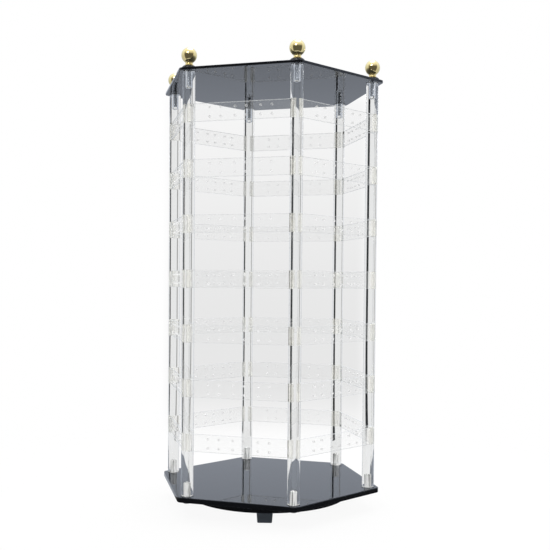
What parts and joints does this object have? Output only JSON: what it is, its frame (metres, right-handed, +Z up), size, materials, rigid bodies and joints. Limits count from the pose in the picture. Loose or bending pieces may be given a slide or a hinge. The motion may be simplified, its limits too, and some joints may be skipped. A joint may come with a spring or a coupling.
{
  "type": "earring stand",
  "caption": "Turning earring tower: black hexagonal plates on clear rods with gold ball finials, tiers of clear drilled strips for earrings, and a ball-bearing turntable on moulded feet.",
  "frame": {"origin": "on the floor, under the axis that the tower turns about", "axes": "+Z up along the turning axis; one rod of the tower stands straight in front of it on -Y, and the flat left and right faces look along -X and +X"},
  "size_m": [0.2044, 0.2342, 0.4545],
  "materials": {
    "black_acrylic": "polished black",
    "clear_acrylic": "clear polished",
    "polished_gold": "polished",
    "slate_plastic": "matte",
    "bearing_steel": "plain"
  },
  "bodies": {
    "base": {"turntable_base": "slate_plastic"},
    "ball_ring": {"ball_ring": "bearing_steel"},
    "tower": {"turntable_disc": "black_acrylic", "pivot_screw": "bearing_steel", "base_plate": "black_acrylic", "top_plate": "black_acrylic", "rod_front": "clear_acrylic", "rod_front_right": "clear_acrylic", "rod_back_right": "clear_acrylic", "rod_back": "clear_acrylic", "rod_back_left": "clear_acrylic", "rod_front_left": "clear_acrylic", "finial_front": "polished_gold", "finial_front_right": "polished_gold", "finial_back_right": "polished_gold", "finial_back": "polished_gold", "finial_back_left": "polished_gold", "finial_front_left": "polished_gold", "strip_front_right_1": "clear_acrylic", "strip_front_right_2": "clear_acrylic", "strip_front_right_3": "clear_acrylic", "strip_front_right_4": "clear_acrylic", "strip_front_right_5": "clear_acrylic", "strip_front_right_6": "clear_acrylic", "strip_front_right_7": "clear_acrylic", "strip_right_1": "clear_acrylic", "strip_right_2": "clear_acrylic", "strip_right_3": "clear_acrylic", "strip_right_4": "clear_acrylic", "strip_right_5": "clear_acrylic", "strip_right_6": "clear_acrylic", "strip_right_7": "clear_acrylic", "strip_back_right_1": "clear_acrylic", "strip_back_right_2": "clear_acrylic", "strip_back_right_3": "clear_acrylic", "strip_back_right_4": "clear_acrylic", "strip_back_right_5": "clear_acrylic", "strip_back_right_6": "clear_acrylic", "strip_back_right_7": "clear_acrylic", "strip_back_left_1": "clear_acrylic", "strip_back_left_2": "clear_acrylic", "strip_back_left_3": "clear_acrylic", "strip_back_left_4": "clear_acrylic", "strip_back_left_5": "clear_acrylic", "strip_back_left_6": "clear_acrylic", "strip_back_left_7": "clear_acrylic", "strip_left_1": "clear_acrylic", "strip_left_2": "clear_acrylic", "strip_left_3": "clear_acrylic", "strip_left_4": "clear_acrylic", "strip_left_5": "clear_acrylic", "strip_left_6": "clear_acrylic", "strip_left_7": "clear_acrylic", "strip_front_left_1": "clear_acrylic", "strip_front_left_2": "clear_acrylic", "strip_front_left_3": "clear_acrylic", "strip_front_left_4": "clear_acrylic", "strip_front_left_5": "clear_acrylic", "strip_front_left_6": "clear_acrylic", "strip_front_left_7": "clear_acrylic"}
  },
  "joints": [
    {"name": "tower_spin", "type": "hinge", "parent": "base", "child": "tower", "pos_m": [0, 0, 0.016], "axis": [0, 0, 1], "continuous": true},
    {"name": "ball_ring_spin", "type": "hinge", "parent": "base", "child": "ball_ring", "pos_m": [0, 0, 0.016], "axis": [0, 0, 1], "continuous": true}
  ],
  "couplings": [
    {"joint": "ball_ring_spin", "follows": "tower_spin", "ratio": 0.5}
  ]
}
